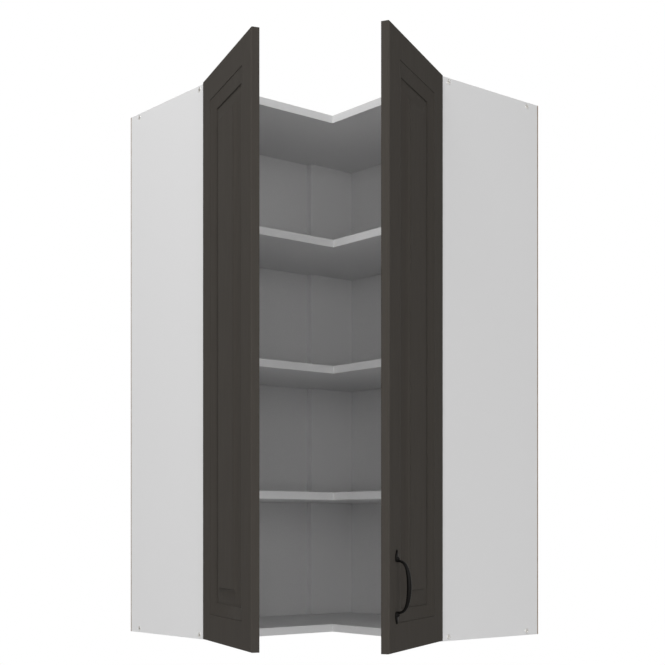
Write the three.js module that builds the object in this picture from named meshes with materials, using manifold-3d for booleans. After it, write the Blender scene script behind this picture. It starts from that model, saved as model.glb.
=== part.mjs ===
import * as THREE from 'three';
import { mergeVertices } from 'three/addons/utils/BufferGeometryUtils.js';
import Module from 'manifold-3d';

// L-shaped corner wall cabinet with two framed doors, in millimetres, +Z up.
// The origin is the corner of the room at the height of the cabinet's underside.
// +X runs along the right-hand wall and -Y along the left-hand wall.

// Carcass
const LEG_LENGTH = 600; // room corner to the outer face of each side panel
const HEIGHT = 1080;
const CARCASS_DEPTH = 283; // wall to the front edges of the carcass
const BOARD = 16;
const BACK = 3;
const UPRIGHT_WIDTH = 124; // board that stiffens the corner behind the shelves

// Shelves and the pins below them
const SHELF_COUNT = 3;
const FIRST_SHELF = 276; // underside of the lowest shelf
const SHELF_PITCH = 265.8;
const SHELF_SETBACK = 11;
const SHELF_GAP = 1; // shelf to side panels and backs
const PIN_RADIUS = 2.5;
const PIN_DEPTH = 9; // peg inside the side panel
const PIN_COLLAR_RADIUS = 4;
const PIN_COLLAR = 1.2;
const PIN_TONGUE = { length: 9, width: 7, thickness: 2.5 };
const PIN_DROP = 4.5; // peg axis below the shelf
const PIN_FRONT = 37; // from the carcass front to the front row of holes
const PIN_REAR = 40; // from the wall to the rear row of holes

// Screws that join the side panels to the top and bottom boards
const SCREW = { head: 5, shank: 3.4, thread: 2.8, headDepth: 3.2, shankDepth: 16, length: 50 };
const SCREW_FRONT = 26; // from the carcass front
const SCREW_REAR = 34; // from the wall

// Doors
const DOOR_THICKNESS = 16;
const DOOR_GAP = 2; // carcass front to the door's inner face
const DOOR_SIDE_GAP = 2; // door edge in from the side panel's outer face
const DOOR_END_GAP = 1.5; // above and below each door
const CORNER_GAP = 7; // right door's free edge to the left door's face, both closed
const CORNER_REACH = 3; // left door's free edge short of the right door's face
const OPEN_ANGLE = { left: 108.2, right: 117.2 }; // degrees open at rest
const ARRIS = 3; // rounded front edge
const FRAME = 50; // flat frame round the panel
const SLOPE = 28; // flat slope that runs down from the frame
const RECESS_DEPTH = 6.5;
const SCOOP = 27; // hollow that starts level and rises steeply to the raised field
const AXIS_FRONT = 4.5; // door axis in front of the carcass
const AXIS_INSET = 3.3; // door axis in from the side panel's outer face

// Concealed hinges
const HINGE_END = 100; // hinge centre from the cabinet's underside or top
const CUP = { radius: 17.2, wall: 1.2, depth: 11.2, edge: 4, flange: 1, flangeRadius: 19.5 };
const CUP_WING = { length: 56, width: 13, offset: 9.5 };
const PIN_EYE = 3; // outer radius of every link eye but the knee end of the inner link
const KNEE_EYE = 2.2; // clears the wall of the cup when the door is closed
const LINK_PIN = 1.5;
const ARM_PIN_FRONT = 3; // arm pin in front of the carcass
const ARM_PIN_OFFSET = -0.8; // arm pin from the cup's centre
const CUP_PIN_DEPTH = 2.5; // cup pin inside the door's inner face
const CUP_PIN_OFFSET = 9; // cup pin from the cup's centre
const OUTER_LINK_HALF = 3; // half of the outer link's width
const INNER_PLATE = 2.8;
const CHEEK = 1.8;
const LAYER_GAP = 0.4; // between neighbouring link plates
const ARM_LENGTH = 57.5; // behind the carcass front
const ARM_WEB = 1.5;
const ARM_HEIGHT = 5.5; // arm pin to the outside of the web
const ARM_WEB_FRONT = 5.5; // front end of the web, behind the carcass front
const PLATE_WING = { length: 48, width: 12, thickness: 2.5, setback: 37 };
const PLATE_FRONT = 25.5; // front end of the mounting block

// Bow handle on the right door
const HANDLE_SPACING = 96;
const HANDLE_EDGE = 31.5; // from the door's free edge
const HANDLE_CENTRE = 115; // above the cabinet's underside
const HANDLE_PROJECTION = 28;
const HANDLE_END_RADIUS = 2.4;
const HANDLE_MID_RADIUS = 5;
const HANDLE_NECK = 3.5; // bar's end in from the screw, towards the handle's middle
const HANDLE_RISE = 0.62; // below 1 the bar leaves the door steeply and runs flatter in the middle
const BAR_STEPS = 18;
const BAR_SIDES = 10;
const FOOT = { length: 16, width: 11, thickness: 1.6, round: 1.4 }; // length from the screw to the tip
const FOOT_BULGE = 1.1; // sides of the leaf, as a share of its half width
const BOSS = { radius: 4.6, height: 6.5 };
const BOSS_DOME = [[1, 0], [0.9, 0.5], [0.55, 0.85], [0, 1]]; // shares of its radius and height
const BOLT = { head: 4, headHeight: 2.2, shank: 2, grip: 4 };

// Hangers in the upper rear corners, with hooks through the backs
const HANGER = { depth: 43, width: 18, height: 54, top: 20 };
const HOOK = { width: 8, height: 22, inset: 0.5 };
const HOOK_CUT = 3; // clear space round the hook in the back panel

const CLEAR = 0.3; // between pieces that are cut round each other or turn together
const EDGE_SEGMENTS = 4;
const SMALL_SIDES = 12;
const CUP_SIDES = 24;

const MATERIALS = {
  board: new THREE.MeshStandardMaterial({ color: 0xeeeeec, roughness: 0.55, metalness: 0 }),
  back: new THREE.MeshStandardMaterial({ color: 0xe4e4e2, roughness: 0.7, metalness: 0 }),
  door: new THREE.MeshStandardMaterial({ color: 0x49443f, roughness: 0.6, metalness: 0 }),
  handle: new THREE.MeshStandardMaterial({ color: 0x1d1c1a, roughness: 0.5, metalness: 0.4 }),
  steel: new THREE.MeshStandardMaterial({ color: 0xb9bbbe, roughness: 0.3, metalness: 1 }),
  plastic: new THREE.MeshStandardMaterial({ color: 0xf2f2f0, roughness: 0.45, metalness: 0 }),
};

const wasm = await Module();
wasm.setup();
const model = new THREE.Group();

function add(name, geometry, material, parent = model) {
  const mesh = new THREE.Mesh(geometry, material);
  mesh.name = name;
  parent.add(mesh);
  return mesh;
}

// Booleans

function toSolid(geometry) {
  const bare = geometry.clone();
  bare.deleteAttribute('normal');
  bare.deleteAttribute('uv');
  const merged = mergeVertices(bare, 1e-4);
  const vertProperties = new Float32Array(merged.attributes.position.array);
  const triVerts = new Uint32Array(merged.index.array);
  return new wasm.Manifold(new wasm.Mesh({ numProp: 3, vertProperties, triVerts }));
}

function toGeometry(solid) {
  const mesh = solid.getMesh();
  const geometry = new THREE.BufferGeometry();
  geometry.setAttribute('position', new THREE.BufferAttribute(new Float32Array(mesh.vertProperties), 3));
  geometry.setIndex(new THREE.BufferAttribute(new Uint32Array(mesh.triVerts), 1));
  geometry.computeVertexNormals();
  return geometry;
}

function cut(base, tools) {
  return toGeometry(tools.reduce((solid, tool) => solid.subtract(toSolid(tool)), toSolid(base)));
}

function join(pieces) {
  const [first, ...rest] = pieces.map(toSolid);
  return toGeometry(rest.reduce((solid, piece) => solid.add(piece), first));
}

// Basic forms

function box([x0, x1], [y0, y1], [z0, z1]) {
  const geometry = new THREE.BoxGeometry(x1 - x0, y1 - y0, z1 - z0);
  return geometry.translate((x0 + x1) / 2, (y0 + y1) / 2, (z0 + z1) / 2);
}

// A box given by its distances from one leg's wall and along that wall from the corner.
function legBox(side, depth, [along0, along1], height) {
  if (side === 'left') return box(depth, [-along1, -along0], height);
  return box([along0, along1], [-depth[1], -depth[0]], height);
}

function legPoint(side, depth, along, height) {
  if (side === 'left') return new THREE.Vector3(depth, -along, height);
  return new THREE.Vector3(along, -depth, height);
}

// Unit vector that points along one leg's wall towards the corner.
function towardsCorner(side) {
  return side === 'left' ? new THREE.Vector3(0, 1, 0) : new THREE.Vector3(-1, 0, 0);
}

// A turned form: [radius, distance] pairs from the start point along a direction.
function turned(profile, start, direction, sides = SMALL_SIDES) {
  const points = profile.map(([radius, distance]) => new THREE.Vector2(radius, distance));
  const geometry = new THREE.LatheGeometry(points, sides);
  const turn = new THREE.Quaternion().setFromUnitVectors(new THREE.Vector3(0, 1, 0), direction);
  return geometry.applyQuaternion(turn).translate(start.x, start.y, start.z);
}

function rod(radius, start, direction, length) {
  return turned([[0, 0], [radius, 0], [radius, length], [0, length]], start, direction);
}

function slab(shape, [low, high]) {
  const options = { depth: high - low, bevelEnabled: false, curveSegments: SMALL_SIDES / 2 };
  return new THREE.ExtrudeGeometry(shape, options).translate(0, 0, low);
}

function polygon(points) {
  return new THREE.Shape(points.map(([x, y]) => new THREE.Vector2(x, y)));
}

// Carcass

const SIDES = ['left', 'right'];
const INNER_FACE = LEG_LENGTH - BOARD;
const FULL_HEIGHT = [0, HEIGHT];

function screwProfile(clear) {
  const { head, shank, thread, headDepth, shankDepth, length } = SCREW;
  return [
    [0, -clear],
    [head + clear, -clear],
    [head + clear, headDepth / 3],
    [shank + clear, headDepth + clear],
    [shank + clear, shankDepth],
    [thread + clear, shankDepth + clear],
    [thread + clear, length - thread],
    [0, length + clear],
  ];
}

function sideScrews(side) {
  const rows = [BOARD / 2, HEIGHT - BOARD / 2];
  const columns = [SCREW_REAR, CARCASS_DEPTH - SCREW_FRONT];
  return rows.flatMap((height) => columns.map((depth) => legPoint(side, depth, LEG_LENGTH, height)));
}

function screw(side, start, clear) {
  return turned(screwProfile(clear), start, towardsCorner(side));
}

function shelfHeight(index) {
  return FIRST_SHELF + index * SHELF_PITCH;
}

function pinPlaces() {
  const places = [];
  for (let index = 0; index < SHELF_COUNT; index += 1) {
    places.push({ shelf: index, row: 'rear', depth: PIN_REAR });
    places.push({ shelf: index, row: 'front', depth: CARCASS_DEPTH - PIN_FRONT });
  }
  return places;
}

function pinPeg(side, place, clear) {
  const height = shelfHeight(place.shelf) - PIN_DROP;
  const start = legPoint(side, place.depth, INNER_FACE, height);
  const outwards = towardsCorner(side).negate();
  return rod(PIN_RADIUS + clear, start, outwards, PIN_DEPTH + clear);
}

function shelfPin(side, place) {
  const under = shelfHeight(place.shelf);
  const start = legPoint(side, place.depth, INNER_FACE, under - PIN_DROP);
  const half = PIN_TONGUE.width / 2;
  const tongue = legBox(
    side,
    [place.depth - half, place.depth + half],
    [INNER_FACE - PIN_TONGUE.length, INNER_FACE],
    [under - PIN_TONGUE.thickness, under],
  );
  const collar = rod(PIN_COLLAR_RADIUS, start, towardsCorner(side), PIN_COLLAR);
  return join([tongue, collar, pinPeg(side, place, 0)]);
}

function makeSidePanel(side) {
  const panel = legBox(side, [BACK, CARCASS_DEPTH], [INNER_FACE, LEG_LENGTH], FULL_HEIGHT);
  const screwHoles = sideScrews(side).map((start) => screw(side, start, CLEAR));
  const pinHoles = pinPlaces().map((place) => pinPeg(side, place, CLEAR));
  add(`${side}_side_panel`, cut(panel, [...screwHoles, ...pinHoles]), MATERIALS.board);
}

function hookHeights() {
  const middle = HEIGHT - BOARD - HANGER.top - HANGER.height / 2;
  return [middle - HOOK.height / 2, middle + HOOK.height / 2];
}

function hookSpan() {
  const middle = INNER_FACE - HANGER.width / 2;
  return [middle - HOOK.width / 2, middle + HOOK.width / 2];
}

function grow([low, high], by) {
  return [low - by, high + by];
}

function makeBack(side) {
  const start = side === 'left' ? BACK : 0;
  const panel = legBox(side, [0, BACK], [start, LEG_LENGTH], FULL_HEIGHT);
  const window = legBox(side, [-1, BACK + 1], grow(hookSpan(), HOOK_CUT), grow(hookHeights(), HOOK_CUT));
  add(`${side}_back_panel`, cut(panel, [window]), MATERIALS.back);
}

function makeHanger(side) {
  const top = HEIGHT - BOARD - HANGER.top;
  const front = BACK + HANGER.depth;
  const span = [INNER_FACE - HANGER.width, INNER_FACE];
  const body = legBox(side, [BACK, front], span, [top - HANGER.height, top]);
  const hook = legBox(side, [HOOK.inset, BACK + 1], hookSpan(), hookHeights());
  add(`${side}_hanger`, join([body, hook]), MATERIALS.plastic);
}

// Plan of a board that fills both legs, from its rear edges to its front edges and ends.
function cornerPlan(rear, front, end, notch) {
  const points = [[rear, -end], [front, -end], [front, -front], [end, -front], [end, -rear]];
  if (!notch) return polygon([...points, [rear, -rear]]);
  return polygon([...points, [notch.depth, -rear], [notch.depth, -notch.along], [rear, -notch.along]]);
}

function makeEndBoard(name, low) {
  const board = slab(cornerPlan(BACK, CARCASS_DEPTH, INNER_FACE), [low, low + BOARD]);
  const holes = SIDES.flatMap((side) =>
    sideScrews(side)
      .filter((start) => start.z > low && start.z < low + BOARD)
      .map((start) => screw(side, start, CLEAR)),
  );
  add(name, cut(board, holes), MATERIALS.board);
}

function cornerScrewStart(index) {
  const middle = BACK + UPRIGHT_WIDTH / 2;
  return new THREE.Vector3(BACK, -middle, shelfHeight(index) + BOARD / 2);
}

function cornerScrew(index, clear) {
  return turned(screwProfile(clear), cornerScrewStart(index), new THREE.Vector3(1, 0, 0));
}

function makeUpright() {
  const board = box([BACK, BACK + BOARD], [-BACK - UPRIGHT_WIDTH, -BACK], [BOARD, HEIGHT - BOARD]);
  const holes = Array.from({ length: SHELF_COUNT }, (_, index) => cornerScrew(index, CLEAR));
  add('corner_upright', cut(board, holes), MATERIALS.board);
}

function makeShelf(index) {
  const rear = BACK + SHELF_GAP;
  const notch = { depth: BACK + BOARD, along: BACK + UPRIGHT_WIDTH + SHELF_GAP };
  const plan = cornerPlan(rear, CARCASS_DEPTH - SHELF_SETBACK, INNER_FACE - SHELF_GAP, notch);
  const under = shelfHeight(index);
  const board = slab(plan, [under, under + BOARD]);
  add(`shelf_${index + 1}`, cut(board, [cornerScrew(index, CLEAR)]), MATERIALS.board);
  add(`shelf_${index + 1}_corner_screw`, cornerScrew(index, 0), MATERIALS.steel);
}

function makeCarcass() {
  makeEndBoard('bottom_board', 0);
  makeEndBoard('top_board', HEIGHT - BOARD);
  makeUpright();
  for (const side of SIDES) {
    makeSidePanel(side);
    makeBack(side);
    makeHanger(side);
    sideScrews(side).forEach((start, index) => {
      add(`${side}_carcass_screw_${index + 1}`, screw(side, start, 0), MATERIALS.steel);
    });
    for (const place of pinPlaces()) {
      add(`${side}_pin_${place.shelf + 1}_${place.row}`, shelfPin(side, place), MATERIALS.steel);
    }
  }
  for (let index = 0; index < SHELF_COUNT; index += 1) makeShelf(index);
}

// Doors and hinges are drawn round the door's axis with the door closed:
// x points out of the cabinet, y towards the side panel and z along the axis.

const DOOR = {
  inner: DOOR_GAP - AXIS_FRONT,
  outer: DOOR_GAP - AXIS_FRONT + DOOR_THICKNESS,
  hingeEdge: AXIS_INSET - DOOR_SIDE_GAP,
  height: HEIGHT - 2 * DOOR_END_GAP,
};
const FACE_PLANE = CARCASS_DEPTH + DOOR_GAP + DOOR_THICKNESS;
const DOOR_WIDTH = {
  left: LEG_LENGTH - DOOR_SIDE_GAP - (FACE_PLANE - CORNER_REACH),
  right: LEG_LENGTH - DOOR_SIDE_GAP - (FACE_PLANE + CORNER_GAP),
};
const CUP_CENTRE = DOOR.hingeEdge - CUP.edge - CUP.radius - CLEAR;
const PANEL_FACE = AXIS_INSET - BOARD; // the side panel's inner face
const ARM_PIN = { x: ARM_PIN_FRONT - AXIS_FRONT, y: CUP_CENTRE + ARM_PIN_OFFSET };
const CUP_PIN = { x: DOOR.inner + CUP_PIN_DEPTH, y: CUP_CENTRE + CUP_PIN_OFFSET };
const HINGE_HEIGHTS = { upper: HEIGHT - HINGE_END, lower: HINGE_END };
const X_AXIS = new THREE.Vector3(1, 0, 0);
const Z_AXIS = new THREE.Vector3(0, 0, 1);

// The right leg is the drawing given a quarter turn. The left leg is the drawing turned upside down.
function axisGroup(side) {
  const group = new THREE.Group();
  const axis = legPoint(side, CARCASS_DEPTH + AXIS_FRONT, LEG_LENGTH - AXIS_INSET, HEIGHT / 2);
  group.position.copy(axis);
  if (side === 'left') group.rotation.x = Math.PI;
  else group.rotation.z = -Math.PI / 2;
  model.add(group);
  return group;
}

function localHeight(side, height) {
  return side === 'left' ? HEIGHT / 2 - height : height - HEIGHT / 2;
}

// Section through the door's front: distance in from its edges and depth below its face.
function doorSection() {
  const section = [];
  for (let step = 0; step <= EDGE_SEGMENTS; step += 1) {
    const angle = (Math.PI / 2) * (step / EDGE_SEGMENTS);
    section.push([ARRIS * (1 - Math.cos(angle)), ARRIS * (1 - Math.sin(angle))]);
  }
  section.push([FRAME, 0]);
  const scoopSteps = 2 * EDGE_SEGMENTS;
  for (let step = 0; step <= scoopSteps; step += 1) {
    const angle = (Math.PI / 2) * (step / scoopSteps);
    section.push([FRAME + SLOPE + SCOOP * Math.sin(angle), RECESS_DEPTH * Math.cos(angle)]);
  }
  return section;
}

// A closed body of nested rectangles, with mitred corners all the way in.
function mitredPanel(width, height, back, face, section) {
  const rings = [[0, back], ...section.map(([inset, drop]) => [inset, face - drop])];
  const positions = [];
  for (const [inset, level] of rings) {
    const [left, right] = [DOOR.hingeEdge - width + inset, DOOR.hingeEdge - inset];
    const top = height / 2 - inset;
    positions.push(level, left, -top, level, right, -top, level, right, top, level, left, top);
  }
  const corners = 4;
  const indices = [0, 2, 1, 0, 3, 2];
  for (let ring = 0; ring < rings.length - 1; ring += 1) {
    for (let corner = 0; corner < corners; corner += 1) {
      const a = ring * corners + corner;
      const b = ring * corners + ((corner + 1) % corners);
      indices.push(a, b, b + corners, a, b + corners, a + corners);
    }
  }
  const last = (rings.length - 1) * corners;
  indices.push(last, last + 1, last + 2, last, last + 2, last + 3);
  const geometry = new THREE.BufferGeometry();
  geometry.setAttribute('position', new THREE.Float32BufferAttribute(positions, 3));
  geometry.setIndex(indices);
  geometry.computeVertexNormals();
  return geometry;
}

function handleHoles() {
  const across = DOOR.hingeEdge - DOOR_WIDTH.right + HANDLE_EDGE;
  const middle = localHeight('right', HANDLE_CENTRE);
  const half = HANDLE_SPACING / 2;
  return [-half, half].map((offset) => new THREE.Vector3(DOOR.inner, across, middle + offset));
}

function boltProfile(clear) {
  const { head, headHeight, shank, grip } = BOLT;
  const end = DOOR_THICKNESS + grip;
  return [
    [0, -headHeight - CLEAR],
    [head - CLEAR, -headHeight - CLEAR],
    [head, -headHeight / 2],
    [head, -CLEAR],
    [shank + clear, -CLEAR],
    [shank + clear, end + clear],
    [0, end + clear],
  ];
}

function bolt(hole, clear) {
  return turned(boltProfile(clear), hole, X_AXIS);
}

function makeDoor(side, swing) {
  const panel = mitredPanel(DOOR_WIDTH[side], DOOR.height, DOOR.inner, DOOR.outer, doorSection());
  const boreDepth = CUP.depth + CLEAR;
  const tools = Object.values(HINGE_HEIGHTS).map((height) => {
    const start = new THREE.Vector3(DOOR.inner - 1, CUP_CENTRE, localHeight(side, height));
    const bore = CUP.radius + CLEAR;
    const profile = [[0, 0], [bore, 0], [bore, boreDepth + 1], [0, boreDepth + 1]];
    return turned(profile, start, X_AXIS, CUP_SIDES);
  });
  if (side === 'right') {
    for (const hole of handleHoles()) {
      tools.push(rod(BOLT.shank + CLEAR, hole.setX(DOOR.inner - 1), X_AXIS, 2 * DOOR_THICKNESS));
    }
  }
  add(`${side}_door`, cut(panel, tools), MATERIALS.door, swing);
}

// A plate between two eyes, given as points in the plane across the axis.
function linkPlate(from, to, toEye, layer, eyes) {
  const heading = Math.atan2(to.y - from.y, to.x - from.x);
  const quarter = Math.PI / 2;
  const shape = new THREE.Shape();
  shape.absarc(from.x, from.y, PIN_EYE, heading + quarter, heading + 3 * quarter, false);
  shape.absarc(to.x, to.y, toEye, heading - quarter, heading + quarter, false);
  for (const eye of eyes) {
    const hole = new THREE.Path();
    hole.absarc(eye.x, eye.y, LINK_PIN + CLEAR, 0, 2 * Math.PI, true);
    shape.holes.push(hole);
  }
  return slab(shape, layer);
}

function pinAt(point, [low, high]) {
  return rod(LINK_PIN, new THREE.Vector3(point.x, point.y, low), Z_AXIS, high - low);
}

function mirrored([low, high]) {
  return [-high, -low];
}

const OUTER_LAYER = [-OUTER_LINK_HALF, OUTER_LINK_HALF];
const INNER_LAYER = [OUTER_LINK_HALF + LAYER_GAP, OUTER_LINK_HALF + LAYER_GAP + INNER_PLATE];
const CHEEK_LAYER = [INNER_LAYER[1] + LAYER_GAP, INNER_LAYER[1] + LAYER_GAP + CHEEK];
const OVERLAP = 0.5; // how far joined forms run into each other

// The bowl with its wings, and two lugs that carry the cup pin.
function cupGeometry() {
  const seat = DOOR.inner - CLEAR;
  const lip = seat - CUP.flange;
  const inside = CUP.radius - CUP.wall;
  const bottom = CUP.depth + CUP.flange;
  const bowl = turned(
    [[0, bottom - CUP.wall], [inside, bottom - CUP.wall], [inside, 0], [CUP.flangeRadius, 0],
      [CUP.flangeRadius, CUP.flange], [CUP.radius, CUP.flange], [CUP.radius, bottom], [0, bottom]],
    new THREE.Vector3(lip, CUP_CENTRE, 0),
    X_AXIS,
    CUP_SIDES,
  );
  const wingMiddle = CUP_CENTRE - CUP_WING.offset;
  const wing = box(
    [lip, seat],
    [wingMiddle - CUP_WING.width / 2, wingMiddle + CUP_WING.width / 2],
    [-CUP_WING.length / 2, CUP_WING.length / 2],
  );
  const mouth = turned(
    [[0, -1], [inside, -1], [inside, CUP.flange + 1], [0, CUP.flange + 1]],
    new THREE.Vector3(lip, CUP_CENTRE, 0),
    X_AXIS,
    CUP_SIDES,
  );
  const floor = lip + bottom - CUP.wall + OVERLAP;
  const lug = new THREE.Shape();
  lug.absarc(CUP_PIN.x, CUP_PIN.y, PIN_EYE, Math.PI / 2, (3 * Math.PI) / 2, false);
  lug.lineTo(floor, CUP_PIN.y - PIN_EYE);
  lug.lineTo(floor, CUP_PIN.y + PIN_EYE);
  const pieces = [bowl, cut(wing, [mouth]), slab(lug, INNER_LAYER), slab(lug, mirrored(INNER_LAYER))];
  return join([...pieces, pinAt(CUP_PIN, grow(OUTER_LAYER, LAYER_GAP + OVERLAP))]);
}

function armGeometry() {
  const rear = -AXIS_FRONT - ARM_LENGTH;
  const webFront = -AXIS_FRONT - ARM_WEB_FRONT;
  const under = PANEL_FACE - PLATE_WING.thickness - CLEAR;
  const outside = ARM_PIN.y - ARM_HEIGHT;
  const cheek = new THREE.Shape();
  cheek.moveTo(rear, under);
  cheek.lineTo(rear, outside);
  cheek.lineTo(webFront, outside);
  cheek.absarc(ARM_PIN.x, ARM_PIN.y, PIN_EYE, -Math.PI / 2, Math.PI / 2, false);
  cheek.lineTo(webFront, under);
  const web = box([rear, webFront], [outside, outside + ARM_WEB], [-CHEEK_LAYER[1], CHEEK_LAYER[1]]);
  const stub = [INNER_LAYER[0], CHEEK_LAYER[0] + OVERLAP];
  const plates = [slab(cheek, CHEEK_LAYER), slab(cheek, mirrored(CHEEK_LAYER)), web];
  return join([...plates, pinAt(ARM_PIN, stub), pinAt(ARM_PIN, mirrored(stub))]);
}

function plateGeometry() {
  const rear = -AXIS_FRONT - ARM_LENGTH;
  const middle = -AXIS_FRONT - PLATE_WING.setback;
  const top = ARM_PIN.y - ARM_HEIGHT + ARM_WEB + CLEAR;
  const half = INNER_LAYER[1];
  const block = box([rear, -AXIS_FRONT - PLATE_FRONT], [top, PANEL_FACE], [-half, half]);
  const wing = box(
    [middle - PLATE_WING.width / 2, middle + PLATE_WING.width / 2],
    [PANEL_FACE - PLATE_WING.thickness, PANEL_FACE],
    [-PLATE_WING.length / 2, PLATE_WING.length / 2],
  );
  return join([block, wing]);
}

// The inner link is a fork that carries the knee pin, and the outer link turns on that pin.
function innerLinkGeometry() {
  const arm = { x: 0, y: 0 };
  const layers = [INNER_LAYER, mirrored(INNER_LAYER)];
  const plates = layers.map((layer) => linkPlate(arm, CUP_PIN, KNEE_EYE, layer, [arm]));
  return join([...plates, pinAt(CUP_PIN, [-INNER_LAYER[1], INNER_LAYER[1]])]);
}

function outerLinkGeometry() {
  const cup = { x: 0, y: 0 };
  return linkPlate(cup, ARM_PIN, PIN_EYE, OUTER_LAYER, [cup, ARM_PIN]);
}

// Arm pin, cup pin, knee and door axis are the corners of a parallelogram, so the inner link
// turns with the door and the outer link keeps its heading.
function makeHinge(side, end, frame, swing, angle) {
  const height = localHeight(side, HINGE_HEIGHTS[end]);
  const name = `${side}_${end}_hinge`;
  const cup = add(`${name}_cup`, cupGeometry(), MATERIALS.steel, swing);
  const arm = add(`${name}_arm`, armGeometry(), MATERIALS.steel, frame);
  const plate = add(`${name}_plate`, plateGeometry(), MATERIALS.steel, frame);
  for (const piece of [cup, arm, plate]) piece.position.z = height;

  const inner = add(`${name}_inner_link`, innerLinkGeometry(), MATERIALS.steel, frame);
  inner.position.set(ARM_PIN.x, ARM_PIN.y, height);
  inner.rotation.z = angle;

  const outer = add(`${name}_outer_link`, outerLinkGeometry(), MATERIALS.steel, frame);
  const cupPin = new THREE.Vector3(CUP_PIN.x, CUP_PIN.y, height).applyAxisAngle(Z_AXIS, angle);
  outer.position.copy(cupPin);
}

// Handle

// A closed tube round a path in the plane across the door, with its own radius at each station.
function taperedBar(stations, sides) {
  const positions = [];
  for (const { point, tangent, radius } of stations) {
    const across = new THREE.Vector3().crossVectors(tangent, new THREE.Vector3(0, 1, 0)).normalize();
    for (let side = 0; side < sides; side += 1) {
      const angle = (2 * Math.PI * side) / sides;
      const spot = point.clone().addScaledVector(across, radius * Math.cos(angle));
      spot.y += radius * Math.sin(angle);
      positions.push(spot.x, spot.y, spot.z);
    }
  }
  const count = stations.length;
  const ends = [stations[0].point, stations[count - 1].point];
  for (const end of ends) positions.push(end.x, end.y, end.z);
  const indices = [];
  for (let side = 0; side < sides; side += 1) {
    const next = (side + 1) % sides;
    for (let station = 0; station < count - 1; station += 1) {
      const a = station * sides;
      const b = a + sides;
      indices.push(a + side, b + side, b + next, a + side, b + next, a + next);
    }
    const last = (count - 1) * sides;
    indices.push(count * sides, side, next, count * sides + 1, last + next, last + side);
  }
  const geometry = new THREE.BufferGeometry();
  geometry.setAttribute('position', new THREE.Float32BufferAttribute(positions, 3));
  geometry.setIndex(indices);
  return geometry;
}

// A leaf that is round towards the bar and pointed away from it, lying on the door.
function handleFoot(hole, end) {
  const half = FOOT.width / 2 - FOOT.round;
  const outer = FOOT.length - FOOT.round;
  const leaf = new THREE.Shape();
  leaf.moveTo(0, outer);
  leaf.quadraticCurveTo(half * FOOT_BULGE, outer / 2, half, 0);
  leaf.absarc(0, 0, half, 0, -Math.PI, true);
  leaf.quadraticCurveTo(-half * FOOT_BULGE, outer / 2, 0, outer);
  const options = {
    depth: FOOT.thickness,
    bevelEnabled: true,
    bevelThickness: FOOT.round,
    bevelSize: FOOT.round,
    bevelSegments: 2,
    curveSegments: 6,
  };
  const foot = new THREE.ExtrudeGeometry(leaf, options);
  const basis = new THREE.Matrix4().makeBasis(
    new THREE.Vector3(0, end, 0),
    new THREE.Vector3(0, 0, end),
    new THREE.Vector3(1, 0, 0),
  );
  return foot.applyMatrix4(basis).translate(DOOR.outer, hole.y, hole.z);
}

// A low dome over the screw, where the bar leaves the leaf.
function handleBoss(hole) {
  const dome = BOSS_DOME.map(([out, up]) => [out * BOSS.radius, up * BOSS.height]);
  return turned([[0, 0], ...dome], new THREE.Vector3(DOOR.outer, hole.y, hole.z), X_AXIS);
}

function makeHandle(swing) {
  const holes = handleHoles();
  const [low, high] = holes;
  const middle = (low.z + high.z) / 2;
  const face = DOOR.outer + CLEAR;
  const start = face + 1;
  const top = face + HANDLE_PROJECTION - HANDLE_MID_RADIUS;
  const half = HANDLE_SPACING / 2 - HANDLE_NECK;
  const bow = (share) => {
    const angle = Math.PI * share;
    const rise = Math.sin(angle) ** HANDLE_RISE;
    return new THREE.Vector3(start + (top - start) * rise, low.y, middle - half * Math.cos(angle));
  };
  const nearby = 0.01; // either side of a station, for the bar's heading
  const stations = Array.from({ length: BAR_STEPS + 1 }, (_, step) => {
    const share = step / BAR_STEPS;
    const ahead = bow(Math.min(1, share + nearby));
    const behind = bow(Math.max(0, share - nearby));
    const swell = Math.sin(Math.PI * share) ** 2;
    return {
      point: bow(share),
      tangent: ahead.sub(behind).normalize(),
      radius: HANDLE_END_RADIUS + (HANDLE_MID_RADIUS - HANDLE_END_RADIUS) * swell,
    };
  });
  const bar = taperedBar(stations, BAR_SIDES);
  const feet = [handleFoot(low, -1), handleFoot(high, 1), ...holes.map(handleBoss)];
  const sideways = [low.y - FOOT.width, low.y + FOOT.width];
  const below = box([DOOR.inner, face], sideways, [low.z - 2 * FOOT.length, high.z + 2 * FOOT.length]);
  const bores = holes.map((hole) => bolt(hole, CLEAR));
  add('handle', cut(join([...feet, bar]), [below, ...bores]), MATERIALS.handle, swing);
  holes.forEach((hole, index) => {
    add(`handle_screw_${index + 1}`, bolt(hole, 0), MATERIALS.steel, swing);
  });
}

function makeDoors() {
  for (const side of SIDES) {
    const angle = THREE.MathUtils.degToRad(OPEN_ANGLE[side]);
    const frame = axisGroup(side);
    const swing = new THREE.Group();
    swing.rotation.z = angle;
    frame.add(swing);
    makeDoor(side, swing);
    for (const end of Object.keys(HINGE_HEIGHTS)) makeHinge(side, end, frame, swing, angle);
    if (side === 'right') makeHandle(swing);
  }
}

makeCarcass();
makeDoors();

export default model;
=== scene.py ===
import math

import bmesh
import bpy
from mathutils import Matrix, Vector


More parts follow.
